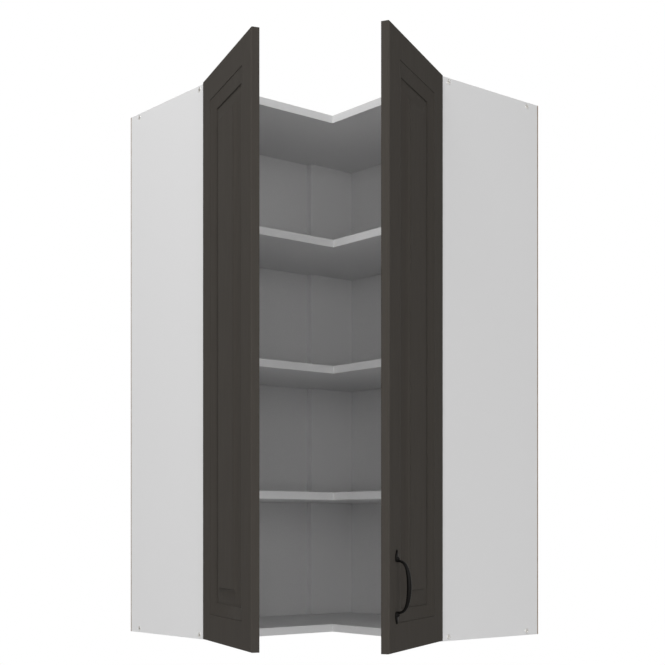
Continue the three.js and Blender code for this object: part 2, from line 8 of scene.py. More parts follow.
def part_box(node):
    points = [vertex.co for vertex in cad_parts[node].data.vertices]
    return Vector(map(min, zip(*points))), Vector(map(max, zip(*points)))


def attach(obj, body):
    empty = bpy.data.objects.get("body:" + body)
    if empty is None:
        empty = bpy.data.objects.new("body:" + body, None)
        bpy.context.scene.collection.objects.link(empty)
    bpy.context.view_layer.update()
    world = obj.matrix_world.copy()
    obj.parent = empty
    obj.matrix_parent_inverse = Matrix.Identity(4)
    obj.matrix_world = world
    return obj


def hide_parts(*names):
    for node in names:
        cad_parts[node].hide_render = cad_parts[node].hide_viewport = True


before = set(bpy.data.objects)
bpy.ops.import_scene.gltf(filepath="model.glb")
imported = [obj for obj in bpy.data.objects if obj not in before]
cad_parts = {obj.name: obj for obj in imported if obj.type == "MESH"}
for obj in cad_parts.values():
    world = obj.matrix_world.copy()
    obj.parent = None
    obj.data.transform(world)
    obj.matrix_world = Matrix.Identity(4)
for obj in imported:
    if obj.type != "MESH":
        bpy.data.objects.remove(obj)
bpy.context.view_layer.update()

# Pieces are drawn in millimetres and set down in metres. The origin is the corner of the room at
# the height of the cabinet's underside, and the two walls are the planes X = 0 and Y = 0.
MM = 0.001
SIDES = ("left", "right")
BODY = "cabinet"

# Carcass
LEG_LENGTH = 600
HEIGHT = 1080
CARCASS_DEPTH = 283
BOARD = 16
BACK = 3
INNER_FACE = LEG_LENGTH - BOARD

# Rounding of the boards' edges, and the length that an edge has to pass to be rounded
BOARD_ROUNDING = 0.5
BOARD_SHORTEST = 14
BACK_ROUNDING = 0.3
BACK_SHORTEST = 20

# Shelf pins: a peg in the side panel, a collar on its face, and a tongue under the shelf
FIRST_SHELF = 276
SHELF_PITCH = 265.8
SHELF_COUNT = 3
PIN_ROWS = {"rear": 40, "front": CARCASS_DEPTH - 37}
PIN_DROP = 4.5
PEG_RADIUS = 2.5
PEG_LENGTH = 9
COLLAR_RADIUS = 4
COLLAR_THICKNESS = 1.2
TONGUE_START = 0.6
TONGUE_REACH = 9
TONGUE_WIDTH = 7
TONGUE_THICKNESS = 2.5
TONGUE_CORNER = 1.6

# Carcass screws
SCREW_ROWS = (BOARD / 2, HEIGHT - BOARD / 2)
SCREW_COLUMNS = (34, CARCASS_DEPTH - 26)
CORNER_SCREW_ALONG = 65
SCREW_LENGTH = 50
SCREW_HEAD_RADIUS = 5
SCREW_RIM = 1.1
SCREW_HEAD_END = 3.2
SCREW_NECK_RADIUS = 3.4
SCREW_NECK_END = 16
SCREW_SHANK_RADIUS = 2.8
SOCKET_ACROSS = 4
SOCKET_DEPTH = 2.4

# Hangers
HANGER_ROUNDING = 1.4
HANGER_SCREW_OFFSETS = (-12, 12)

# Doors, drawn round the axis of the closed door: x out of the cabinet, y towards the side panel
OUT = (1, 0, 0)
TO_PANEL = (0, 1, 0)
AXIS_FRONT = 4.5
AXIS_INSET = 3.3
AXIS_DEPTH = CARCASS_DEPTH + AXIS_FRONT
AXIS_ALONG = LEG_LENGTH - AXIS_INSET
DOOR_THICKNESS = 16
DOOR_GAP = 2
DOOR_SIDE_GAP = 2
DOOR_END_GAP = 1.5
DOOR_BACK = DOOR_GAP - AXIS_FRONT
DOOR_FACE = DOOR_BACK + DOOR_THICKNESS
HINGE_EDGE = AXIS_INSET - DOOR_SIDE_GAP
DOOR_WIDTH = {"left": 300, "right": 290}
DOOR_HALF_HEIGHT = HEIGHT / 2 - DOOR_END_GAP
OPEN_ANGLE = {"left": 108.2, "right": 117.2}
FITTING_GAP = 0.3

# Profile of the doors: distances in from the edge, and depths below the face
BACK_CHAMFER = 0.5
ARRIS = 3
ARRIS_STEPS = 8
FRAME = 50
QUIRK_BOTTOM = FRAME + 0.9
QUIRK_END = FRAME + 2
QUIRK_DEPTH = 1.4
SLOPE_END = 73
SLOPE_DEPTH = 6.4
GROOVE_START = SLOPE_END + 0.8
GROOVE_END = SLOPE_END + 2.4
GROOVE_DEPTH = 8.6
SCOOP_START = 80
SCOOP_STEPS = 16
RECESS_DEPTH = 7.5
FIELD_INSET = 105

# Bores in the doors, with their ends measured from the door's back
BORE_START = -1
CUP_BORE_RADIUS = 17.5
CUP_BORE_END = 11.5
HANDLE_BORE_RADIUS = 2.3
HANDLE_BORE_END = 31

# Handle on the right door
HANDLE_ACROSS = -257.2
HANDLE_SCREWS = (67, 163)
HANDLE_FACE = DOOR_FACE + FITTING_GAP
HANDLE_SCREW_RADIUS = 2
HANDLE_SCREW_LENGTH = 20
BAR_START = 1
BAR_RISE = 23.7
BAR_INSET = 3.5
BAR_FULLNESS = 0.62
BAR_THIN = 2.2
BAR_SWELL = 2.1
BAR_STEPS = 48
BAR_FACETS = 20
FOOT_HALF_WIDTH = 5.5
FOOT_TIP = 16
FOOT_SPINE = 12
FOOT_BULGE = 0.12
FOOT_TAPER = 1.7
FOOT_STEPS = 12
FOOT_ROUND_STEPS = 14

# Crown of a foot: share of its outline, and height above the door
FOOT_CROWN = ((1, 0), (1, 1), (0.96, 1.7), (0.86, 2.2), (0.66, 2.6), (0.4, 2.9), (0.15, 3.0))

# Dome between a foot and the bar: radius, and height above the door
DOME = ((0, 0), (4.6, 0), (4.5, 1.8), (4.1, 3.4), (3.2, 5), (1.8, 6.1), (0, 6.5))

# Hinges
HINGE_INSET = 100
HINGE_HEIGHTS = {"upper": HEIGHT - HINGE_INSET, "lower": HINGE_INSET}
PANEL_FACE = AXIS_INSET - BOARD
HINGE_ROUNDING = 0.35

# Hinge cups
CUP_CENTRE = -20.2
CUP_RADIUS = 17.2
CUP_INSIDE = 16
CUP_WALL = 1.2
CUP_DEPTH = 12.2
CUP_FLOOR = CUP_DEPTH - CUP_WALL
CUP_FLANGE = 1
CUP_FLANGE_RADIUS = 19.5
CUP_LIP = DOOR_BACK - FITTING_GAP - CUP_FLANGE
WING_MIDDLE = CUP_CENTRE - 9.5
WING_HALF = (6.5, 28)
WING_CORNER = 5
WING_SCREW_OFFSETS = (-22.5, 22.5)

# Hinge links. The door's axis, the arm pin, the knee and the cup pin form a parallelogram.
ARM_PIN = (-1.5, -21.0)
CUP_PIN = (0, -11.2)
LINK_PIN = 1.5
PIN_PLAY = 0.3
EYE = 3
EYE_STEPS = 16
KNEE_EYE = 2.2
OUTER_LAYER = (-3, 3)
INNER_LAYER = (3.4, 6.2)
CHEEK_LAYER = (6.6, 8.4)

# Hinge arms and their mounting plates
ARM_REAR = -62
ARM_WEB_FRONT = -10
ARM_OUTSIDE = -26.5
ARM_WEB = 1.5
ARM_SCREW_PLACES = (-22, -44)
PLATE_MIDDLE = -41.5
PLATE_FRONT = -30
PLATE_ROUNDING = 0.6
PLATE_WING_HALF = (6, 24)
PLATE_WING_THICKNESS = 2.5
PLATE_WING_ROUNDING = 0.5
PLATE_SCREW_OFFSETS = (-16, 16)

# Chamfer of turned metal, and the facets of turned forms and round corners
CHAMFER = 0.3
FACETS = 32
FINE_FACETS = 64
HEXAGON_FACETS = 36
HOLE_FACETS = 24
CORNER_STEPS = 6

# Angles in degrees, and a distance in metres, that tell what is sharp, flat or one point
SHARP_ANGLE = 35
SMOOTH_ANGLE = 32
FLAT_ANGLE = 0.5
WELD_DISTANCE = 0.00001


# Drawings

def facing(point, direction):
    """A place whose Z axis points along a direction."""
    turn = Vector((0, 0, 1)).rotation_difference(Vector(direction))
    return Matrix.Translation(point) @ turn.to_matrix().to_4x4()


def axes(x, y, z):
    """A place whose own axes point along these three directions."""
    return Matrix((x, y, z)).transposed().to_4x4()


# A flat drawing turned into the plane of Y and Z, or of X and Z
IN_YZ = axes((0, 1, 0), (0, 0, 1), (1, 0, 0))
IN_XZ = axes((1, 0, 0), (0, 0, 1), (0, -1, 0))


def leg_point(side, depth, along, height):
    """A point by its distances from one leg's wall and along it from the corner."""
    if side == "left":
        return Vector((depth, -along, height))
    return Vector((along, -depth, height))


def outwards(side):
    """Along one leg's wall, away from the corner."""
    return Vector((0, -1, 0)) if side == "left" else Vector((1, 0, 0))


def inwards(side):
    """Away from one leg's wall, into the room."""
    return Vector((1, 0, 0)) if side == "left" else Vector((0, -1, 0))


def door_place(side, angle=0):
    """The drawing frame of a door that stands open by an angle."""
    if side == "left":
        drawing = Matrix.Rotation(math.pi, 4, "X")
    else:
        drawing = Matrix.Rotation(-math.pi / 2, 4, "Z")
    swing = Matrix.Rotation(math.radians(angle), 4, "Z")
    axis = leg_point(side, AXIS_DEPTH, AXIS_ALONG, HEIGHT / 2)
    return Matrix.Translation(axis) @ drawing @ swing


def door_level(side, height):
    """A height above the cabinet's underside, in the drawing frame of a door."""
    return HEIGHT / 2 - height if side == "left" else height - HEIGHT / 2


def arc(centre, radius, start, end, steps):
    """Points on an arc, with its angles in degrees."""
    points = []
    for step in range(steps + 1):
        angle = math.radians(start + (end - start) * step / steps)
        points.append((centre[0] + radius * math.cos(angle), centre[1] + radius * math.sin(angle)))
    return points


def circle(centre, radius):
    return arc(centre, radius, 0, 360, HOLE_FACETS)[:-1]


def rounded_rectangle(low, high, radius):
    corners = (
        ((high[0] - radius, high[1] - radius), 0),
        ((low[0] + radius, high[1] - radius), 90),
        ((low[0] + radius, low[1] + radius), 180),
        ((high[0] - radius, low[1] + radius), 270),
    )
    points = []
    for centre, start in corners:
        points += arc(centre, radius, start, start + 90, CORNER_STEPS)
    return points


def outward(drawing):
    bmesh.ops.recalc_face_normals(drawing, faces=drawing.faces)
    return drawing


def block(low, high):
    drawing = bmesh.new()
    bmesh.ops.create_cube(drawing, size=1)
    for corner in drawing.verts:
        corner.co = [a + (b - a) * (c + 0.5) for a, b, c in zip(low, high, corner.co)]
    return drawing


def prism(outline, low, high, holes=()):
    """A plate with this outline, from one level to another along Z."""
    drawing = bmesh.new()
    edges = []
    for ring in (outline, *holes):
        points = [drawing.verts.new((x, y, low)) for x, y in ring]
        edges += [drawing.edges.new(pair) for pair in zip(points, points[1:] + points[:1])]
    if holes:
        bmesh.ops.triangle_fill(drawing, use_beauty=True, edges=edges)
    else:
        drawing.faces.new(points)
    grown = bmesh.ops.extrude_face_region(drawing, geom=drawing.faces[:])
    top = [item for item in grown["geom"] if isinstance(item, bmesh.types.BMVert)]
    bmesh.ops.translate(drawing, verts=top, vec=(0, 0, high - low))
    return outward(drawing)


def turned(profile, facets=FACETS):
    """A turned form round Z, from pairs of radius and distance.

    A radius may be a function of the angle.
    """
    drawing = bmesh.new()
    rings = []
    for radius, distance in profile:
        if radius == 0:
            rings.append([drawing.verts.new((0, 0, distance))])
            continue
        ring = []
        for facet in range(facets):
            angle = 2 * math.pi * facet / facets
            reach = radius(angle) if callable(radius) else radius
            ring.append(drawing.verts.new((reach * math.cos(angle), reach * math.sin(angle), distance)))
        rings.append(ring)
    span(drawing, rings)
    return outward(drawing)


def rod(radius, start, end, facets=FACETS):
    """A plain round bar along Z, to cut with."""
    return turned(((0, start), (radius, start), (radius, end), (0, end)), facets)


def span(drawing, rings):
    """Faces between neighbouring rings. A ring of one point closes the form."""
    for near, far in zip(rings, rings[1:]):
        count = max(len(near), len(far))
        for here in range(count):
            after = (here + 1) % count
            near_corners = [near[here % len(near)], near[after % len(near)]]
            far_corners = [far[after % len(far)], far[here % len(far)]]
            drawing.faces.new(list(dict.fromkeys(near_corners + far_corners)))


def moved(drawing, place):
    drawing.transform(place)
    return drawing


def gathered(drawings):
    """One drawing that holds several."""
    whole = bmesh.new()
    for drawing in drawings:
        mesh = bpy.data.meshes.new("drawing")
        drawing.to_mesh(mesh)
        whole.from_mesh(mesh)
        bpy.data.meshes.remove(mesh)
        drawing.free()
    return whole


def shaped(base, tools, operation):
    """Joins or cuts closed drawings."""
    objects = []
    for drawing in (base, *tools):
        mesh = bpy.data.meshes.new("drawing")
        drawing.to_mesh(mesh)
        drawing.free()
        part = bpy.data.objects.new("drawing", mesh)
        bpy.context.scene.collection.objects.link(part)
        objects.append(part)
    for tool in objects[1:]:
        modifier = objects[0].modifiers.new("shape", "BOOLEAN")
        modifier.operation = operation
        modifier.solver = "EXACT"
        modifier.object = tool
    ready = objects[0].evaluated_get(bpy.context.evaluated_depsgraph_get())
    result = bmesh.new()
    result.from_mesh(ready.to_mesh())
    ready.to_mesh_clear()
    for part in objects:
        mesh = part.data
        bpy.data.objects.remove(part)
        bpy.data.meshes.remove(mesh)
    return result


def eased(drawing, width, shortest=0, segments=2):
    """Rounds the sharp edges longer than the shortest, and marks the rounding for the wear."""
    mark = drawing.faces.layers.float.get("eased") or drawing.faces.layers.float.new("eased")
    limit = math.radians(SHARP_ANGLE)
    sharp = [
        edge for edge in drawing.edges
        if edge.is_manifold and edge.calc_face_angle() > limit and edge.calc_length() > shortest
    ]
    made = bmesh.ops.bevel(
        drawing, geom=sharp, offset=width, segments=segments, profile=0.5, affect="EDGES", clamp_overlap=True
    )
    for face in made["faces"]:
        face[mark] = 1
    return drawing


def node_drawing(node):
    """A drawing of a CAD node, with its split points joined and its flat faces whole."""
    drawing = bmesh.new()
    drawing.from_mesh(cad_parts[node].data)
    bmesh.ops.remove_doubles(drawing, verts=drawing.verts, dist=WELD_DISTANCE)
    bmesh.ops.dissolve_limit(
        drawing, angle_limit=math.radians(FLAT_ANGLE), verts=drawing.verts, edges=drawing.edges
    )
    return moved(drawing, Matrix.Scale(1 / MM, 4))


def piece(name, drawing, materials, body, slot, *nodes):
    """Sets a drawing down as a piece that rides on a body, and stands for its CAD nodes."""
    drawing.transform(Matrix.Scale(MM, 4))
    mesh = bpy.data.meshes.new(name)
    drawing.to_mesh(mesh)
    drawing.free()
    mesh.shade_smooth()
    mesh.set_sharp_from_angle(angle=math.radians(SMOOTH_ANGLE))
    for material in materials:
        mesh.materials.append(material)
    made = bpy.data.objects.new(name, mesh)
    bpy.context.scene.collection.objects.link(made)
    normals = made.modifiers.new("flat faces stay flat", "WEIGHTED_NORMAL")
    normals.keep_sharp = True
    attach(made, body)
    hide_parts(*nodes)


# Node groups and materials

def put(tree, kind, inputs=(), **settings):
    """Adds a shader node. Its inputs are pairs of a socket and a value or another socket."""
    made = tree.nodes.new(kind)
    for name, value in settings.items():
        setattr(made, name, value)
    for name, value in inputs:
        if isinstance(value, bpy.types.NodeSocket):
            tree.links.new(value, made.inputs[name])
        else:
            made.inputs[name].default_value = value
    return made


def maths(tree, operation, *values, clamp=False):
    """The result of a Math node."""
    made = put(tree, "ShaderNodeMath", enumerate(values), operation=operation, use_clamp=clamp)
    return made.outputs[0]


def blend(tree, share, first, second):
    """Two colours mixed. A Mix node has its colours at inputs 6 and 7 and output 2."""
    made = put(tree, "ShaderNodeMix", ((0, share), (6, first), (7, second)), data_type="RGBA")
    return made.outputs[2]


def new_group(name, inputs, outputs):
    group = bpy.data.node_groups.new(name, "ShaderNodeTree")
    for label, kind, value in inputs:
        socket = group.interface.new_socket(label, in_out="INPUT", socket_type=f"NodeSocket{kind}")
        socket.default_value = value
    for label, kind in outputs:
        group.interface.new_socket(label, in_out="OUTPUT", socket_type=f"NodeSocket{kind}")
    return group


def grain_group():
    """Two tones that alternate in a stretched noise, with the roughness and height that go with them."""
    group = new_group(
        "grain",
        (
            ("Colour", "Color", (0.7, 0.7, 0.7, 1)),
            ("Second colour", "Color", (0.6, 0.6, 0.6, 1)),
            ("Per metre", "Vector", (100, 100, 100)),
            ("Contrast", "Float", 1),
            ("Roughness", "Float", 0.5),
            ("Roughness spread", "Float", 0.1),
        ),
        (("Colour", "Color"), ("Roughness", "Float"), ("Height", "Float")),
    )
    given = put(group, "NodeGroupInput").outputs
    place = put(group, "ShaderNodeTexCoord").outputs["Object"]
    scaled = put(group, "ShaderNodeVectorMath", ((0, place), (1, given["Per metre"])), operation="MULTIPLY")
    noise = put(
        group,
        "ShaderNodeTexNoise",
        (("Vector", scaled.outputs[0]), ("Scale", 1), ("Detail", 5), ("Roughness", 0.6)),
    ).outputs["Fac"]
    middle = 0.5
    centred = maths(group, "SUBTRACT", noise, middle)
    steep = maths(group, "MULTIPLY", centred, given["Contrast"])
    share = maths(group, "ADD", steep, middle, clamp=True)
    tone = blend(group, share, given["Colour"], given["Second colour"])
    rough = maths(
        group, "MULTIPLY_ADD", centred, given["Roughness spread"], given["Roughness"], clamp=True
    )
    put(group, "NodeGroupOutput", (("Colour", tone), ("Roughness", rough), ("Height", noise)))
    return group


def wear_group():
    """Changes a colour along the eased edges, broken up by a coarse noise."""
    group = new_group(
        "edge wear",
        (
            ("Colour", "Color", (0.7, 0.7, 0.7, 1)),
            ("Worn colour", "Color", (0.5, 0.5, 0.5, 1)),
            ("Amount", "Float", 0.5),
            ("Per metre", "Float", 40),
        ),
        (("Colour", "Color"), ("Mask", "Float")),
    )
    given = put(group, "NodeGroupInput").outputs
    place = put(group, "ShaderNodeTexCoord").outputs["Object"]
    edge = put(group, "ShaderNodeAttribute", attribute_name="eased").outputs["Fac"]
    noise = put(
        group,
        "ShaderNodeTexNoise",
        (("Vector", place), ("Scale", given["Per metre"]), ("Detail", 4), ("Roughness", 0.7)),
    ).outputs["Fac"]
    patches = put(
        group,
        "ShaderNodeMapRange",
        (("Value", noise), ("From Min", 0.42), ("From Max", 0.62), ("To Max", given["Amount"])),
    ).outputs[0]
    mask = maths(group, "MULTIPLY", edge, patches)
    tone = blend(group, mask, given["Colour"], given["Worn colour"])
    put(group, "NodeGroupOutput", (("Colour", tone), ("Mask", mask)))
    return group


GRAIN = grain_group()
WEAR = wear_group()


def finish(
    name, tones, per_metre, contrast, roughness, spread, bump, worn, wear=0.5, wear_size=40, **sockets
):
    """A material of two tones in a noise, with edge wear and a fine relief.

    The bump is the height of the relief in metres. Other values go straight to the shader's own sockets.
    """
    material = bpy.data.materials.new(name)
    material.use_nodes = True
    tree = material.node_tree
    shader = tree.nodes["Principled BSDF"]
    grain = put(
        tree,
        "ShaderNodeGroup",
        (
            ("Colour", (*tones[0], 1)),
            ("Second colour", (*tones[1], 1)),
            ("Per metre", per_metre),
            ("Contrast", contrast),
            ("Roughness", roughness),
            ("Roughness spread", spread),
        ),
        node_tree=GRAIN,
    ).outputs
    edge = put(
        tree,
        "ShaderNodeGroup",
        (
            ("Colour", grain["Colour"]),
            ("Worn colour", (*worn, 1)),
            ("Amount", wear),
            ("Per metre", wear_size),
        ),
        node_tree=WEAR,
    ).outputs
    relief = put(
        tree,
        "ShaderNodeBump",
        (("Height", grain["Height"]), ("Distance", bump), ("Strength", 1)),
    ).outputs
    tree.links.new(edge["Colour"], shader.inputs["Base Color"])
    tree.links.new(grain["Roughness"], shader.inputs["Roughness"])
    tree.links.new(relief["Normal"], shader.inputs["Normal"])
    for socket, value in sockets.items():
        shader.inputs[socket.replace("_", " ")].default_value = value
    return material


def white_melamine():
    return finish(
        "white melamine",
        tones=((0.70, 0.698, 0.70), (0.67, 0.668, 0.67)),
        per_metre=(900, 900, 900),
        contrast=1.5,
        roughness=0.42,
        spread=0.12,
        bump=0.00003,
        worn=(0.60, 0.60, 0.58),
        wear=0.6,
    )


def white_edge_band():
    return finish(
        "white edge band",
        tones=((0.69, 0.688, 0.69), (0.655, 0.653, 0.655)),
        per_metre=(260, 260, 700),
        contrast=1.5,
        roughness=0.36,
        spread=0.1,
        bump=0.00002,
        worn=(0.56, 0.56, 0.54),
        wear=0.7,
    )


def white_hardboard():
    return finish(
        "white hardboard",
        tones=((0.68, 0.678, 0.68), (0.63, 0.628, 0.63)),
        per_metre=(420, 420, 420),
        contrast=2,
        roughness=0.55,
        spread=0.15,
        bump=0.00004,
        worn=(0.4, 0.36, 0.3),
        wear=0.6,
    )


def bare_hardboard():
    return finish(
        "bare hardboard",
        tones=((0.24, 0.155, 0.09), (0.15, 0.09, 0.05)),
        per_metre=(650, 650, 500),
        contrast=3,
        roughness=0.75,
        spread=0.15,
        bump=0.00012,
        worn=(0.30, 0.21, 0.13),
    )


def door_foil():
    return finish(
        "dark door foil",
        tones=((0.057, 0.0512, 0.0448), (0.050, 0.0448, 0.0393)),
        per_metre=(260, 260, 14),
        contrast=1.6,
        roughness=0.7,
        spread=0.16,
        bump=0.00004,
        worn=(0.10, 0.092, 0.082),
        wear_size=30,
        Specular_IOR_Level=0.02,
    )


def bare_fibreboard():
    return finish(
        "bare fibreboard",
        tones=((0.36, 0.26, 0.16), (0.29, 0.20, 0.12)),
        per_metre=(900, 900, 900),
        contrast=2.5,
        roughness=0.85,
        spread=0.1,
        bump=0.00008,
        worn=(0.42, 0.32, 0.21),
    )


def black_handle():
    return finish(
        "black cast handle",
        tones=((0.003, 0.0026, 0.0023), (0.005, 0.0045, 0.004)),
        per_metre=(700, 700, 700),
        contrast=2.5,
        roughness=0.34,
        spread=0.2,
        bump=0.00006,
        worn=(0.035, 0.03, 0.027),
        wear=0.6,
        wear_size=120,
        Specular_IOR_Level=0.06,
    )


def nickel():
    return finish(
        "nickel plated steel",
        tones=((0.62, 0.61, 0.59), (0.55, 0.54, 0.52)),
        per_metre=(350, 350, 1400),
        contrast=2,
        roughness=0.26,
        spread=0.2,
        bump=0.00001,
        worn=(0.74, 0.73, 0.71),
        wear=0.7,
        wear_size=200,
        Metallic=1,
    )


def moulded_plastic():
    return finish(
        "white moulded plastic",
        tones=((0.74, 0.74, 0.72), (0.71, 0.71, 0.69)),
        per_metre=(1200, 1200, 1200),
        contrast=1.5,
        roughness=0.38,
        spread=0.1,
        bump=0.00002,
        worn=(0.66, 0.66, 0.64),
    )


MELAMINE = white_melamine()
EDGE_BAND = white_edge_band()
HARDBOARD = white_hardboard()
HARDBOARD_BARE = bare_hardboard()
FOIL = door_foil()
FIBREBOARD = bare_fibreboard()
CAST_BLACK = black_handle()
NICKEL = nickel()
PLASTIC = moulded_plastic()


# Fasteners

def hexagon(across):
    """The radius of a hexagon at an angle, from its width across flats."""
    def radius(angle):
        off = (math.degrees(angle) + 30) % 60 - 30
        return across / 2 / math.cos(math.radians(off))
    return radius


def cross(reach, half_width):
    """The radius of a cross at an angle."""
    def radius(angle):
        off = math.radians(abs((math.degrees(angle) + 45) % 90 - 45))
        end = reach / math.cos(off)
        if off == 0:
            return end
        return min(end, half_width / math.sin(off))
    return radius


def carcass_screw():
    """A connecting screw with a hexagon socket, from its head along Z."""
    socket = hexagon(SOCKET_ACROSS)
    return turned(
        (
            (0, SOCKET_DEPTH + 0.6),
            (hexagon(0.4 * SOCKET_ACROSS), SOCKET_DEPTH + 0.2),
            (socket, SOCKET_DEPTH),
            (socket, 0.2),
            (hexagon(SOCKET_ACROSS + 0.5), 0),
            (SCREW_HEAD_RADIUS - CHAMFER, 0),
            (SCREW_HEAD_RADIUS, CHAMFER),
            (SCREW_HEAD_RADIUS, SCREW_RIM),
            (SCREW_NECK_RADIUS, SCREW_HEAD_END),
            (SCREW_NECK_RADIUS, SCREW_NECK_END),
            (SCREW_SHANK_RADIUS, SCREW_NECK_END + CHAMFER),
            (SCREW_SHANK_RADIUS, SCREW_LENGTH - SCREW_SHANK_RADIUS),
            (0, SCREW_LENGTH),
        ),
        HEXAGON_FACETS,
    )


def cross_head(radius, rise, depth=1.6):
    """A low screw head with a cross recess. Z = 0 is the face it lies on, and it rises along -Z."""
    reach = 0.62 * radius
    arm = 0.16 * radius
    sunk = 0.4
    return turned(
        (
            (0, depth - rise),
            (cross(0.35 * reach, 0.9 * arm), depth - rise),
            (cross(reach, arm), -rise),
            (0.8 * radius, -rise),
            (0.95 * radius, -0.7 * rise),
            (radius, -0.2 * rise),
            (radius, sunk),
            (0, sunk),
        ),
        FINE_FACETS,
    )


def make_carcass_screws():
    spots = [(height, depth) for height in SCREW_ROWS for depth in SCREW_COLUMNS]
    for side in SIDES:
        for index, (height, depth) in enumerate(spots, 1):
            node = f"{side}_carcass_screw_{index}"
            place = facing(leg_point(side, depth, LEG_LENGTH, height), -outwards(side))
            piece(f"{node}_look", moved(carcass_screw(), place), [NICKEL], BODY, "steel", node)
    for index in range(SHELF_COUNT):
        node = f"shelf_{index + 1}_corner_screw"
        height = FIRST_SHELF + index * SHELF_PITCH + BOARD / 2
        place = facing(leg_point("left", BACK, CORNER_SCREW_ALONG, height), inwards("left"))
        piece(f"{node}_look", moved(carcass_screw(), place), [NICKEL], BODY, "steel", node)


def shelf_pin():
    """A peg with a collar and a flat tongue. Z points out of the side panel, and X is up."""
    peg = turned((
        (0, -PEG_LENGTH),
        (PEG_RADIUS - 0.5, -PEG_LENGTH),
        (PEG_RADIUS, 0.6 - PEG_LENGTH),
        (PEG_RADIUS, 0),
        (COLLAR_RADIUS - CHAMFER, 0),
        (COLLAR_RADIUS, CHAMFER),
        (COLLAR_RADIUS, COLLAR_THICKNESS - CHAMFER),
        (COLLAR_RADIUS - CHAMFER, COLLAR_THICKNESS),
        (0, COLLAR_THICKNESS),
    ))
    half = TONGUE_WIDTH / 2
    outline = rounded_rectangle((-half, TONGUE_START), (half, TONGUE_REACH), TONGUE_CORNER)
    tongue = moved(prism(outline, PIN_DROP - TONGUE_THICKNESS, PIN_DROP), IN_YZ)
    return eased(shaped(peg, [tongue], "UNION"), 0.25, shortest=0.5)


def make_shelf_pins():
    up = Vector((0, 0, 1))
    for side in SIDES:
        out = -outwards(side)
        turn = axes(up, out.cross(up), out)
        for index in range(SHELF_COUNT):
            height = FIRST_SHELF + index * SHELF_PITCH - PIN_DROP
            for row, depth in PIN_ROWS.items():
                node = f"{side}_pin_{index + 1}_{row}"
                place = Matrix.Translation(leg_point(side, depth, INNER_FACE, height)) @ turn
                piece(f"{node}_look", moved(shelf_pin(), place), [NICKEL], BODY, "steel", node)


# Carcass

# The axis across the wide faces of each board: 0 is X, 1 is Y and 2 is Z
BOARD_AXES = {
    "bottom_board": 2, "top_board": 2, "shelf_1": 2, "shelf_2": 2, "shelf_3": 2,
    "left_side_panel": 1, "right_side_panel": 0, "corner_upright": 0,
}


def make_boards():
    """Melamine boards with thin bands on their narrow edges."""
    for node, axis in BOARD_AXES.items():
        drawing = node_drawing(node)
        for face in drawing.faces:
            face.material_index = 0 if abs(face.normal[axis]) > 0.7 else 1
        eased(drawing, BOARD_ROUNDING, shortest=BOARD_SHORTEST)
        piece(f"{node}_look", drawing, [MELAMINE, EDGE_BAND], BODY, "board", node)


def make_backs():
    """Hardboard that is white inside and bare behind and on its edges."""
    for side in SIDES:
        node = f"{side}_back_panel"
        drawing = node_drawing(node)
        for face in drawing.faces:
            face.material_index = 0 if face.normal.dot(inwards(side)) > 0.7 else 1
        eased(drawing, BACK_ROUNDING, shortest=BACK_SHORTEST)
        piece(f"{node}_look", drawing, [HARDBOARD, HARDBOARD_BARE], BODY, "back", node)


def make_hangers():
    """A moulded housing in each upper rear corner, with two adjusting screws."""
    for side in SIDES:
        node = f"{side}_hanger"
        low, high = (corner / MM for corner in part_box(node))
        if side == "left":
            low.x = BACK
            screw_face = (high.x, (low.y + high.y) / 2, 0)
        else:
            high.y = -BACK
            screw_face = ((low.x + high.x) / 2, low.y, 0)
        housing = eased(block(low, high), HANGER_ROUNDING, segments=4)
        middle = (low.z + high.z) / 2
        heads = []
        for offset in HANGER_SCREW_OFFSETS:
            place = Matrix.Translation((0, 0, middle + offset)) @ facing(screw_face, -inwards(side))
            heads.append(moved(cross_head(radius=4, rise=0.6), place))
        piece(f"{node}_look", housing, [PLASTIC], BODY, "hanger", node)
        piece(f"{node}_screws", gathered(heads), [NICKEL], BODY, "steel")


# Doors

def door_section():
    """Distance in from the door's edges and depth below its face."""
    section = []
    for step in range(ARRIS_STEPS + 1):
        angle = math.radians(90 * step / ARRIS_STEPS)
        section.append((ARRIS * (1 - math.cos(angle)), ARRIS * (1 - math.sin(angle))))
    section += [(FRAME, 0), (QUIRK_BOTTOM, QUIRK_DEPTH), (QUIRK_END, QUIRK_DEPTH / 2)]
    section += [(SLOPE_END, SLOPE_DEPTH), (GROOVE_START, GROOVE_DEPTH), (GROOVE_END, GROOVE_DEPTH)]
    section += [(SCOOP_START, RECESS_DEPTH)]
    for step in range(1, SCOOP_STEPS + 1):
        angle = math.radians(90 * step / SCOOP_STEPS)
        inset = SCOOP_START + (FIELD_INSET - SCOOP_START) * math.sin(angle)
        section.append((inset, RECESS_DEPTH * math.cos(angle)))
    return section


def door_bores(side):
    """What is bored out for the hinge cups, and on the right door for the screws of the handle."""
    bores = []
    for height in HINGE_HEIGHTS.values():
        place = facing((DOOR_BACK, CUP_CENTRE, door_level(side, height)), OUT)
        bores.append(moved(rod(CUP_BORE_RADIUS, BORE_START, CUP_BORE_END, FINE_FACETS), place))
    if side == "right":
        for height in HANDLE_SCREWS:
            place = facing((DOOR_BACK, HANDLE_ACROSS, door_level(side, height)), OUT)
            bores.append(moved(rod(HANDLE_BORE_RADIUS, BORE_START, HANDLE_BORE_END), place))
    return bores


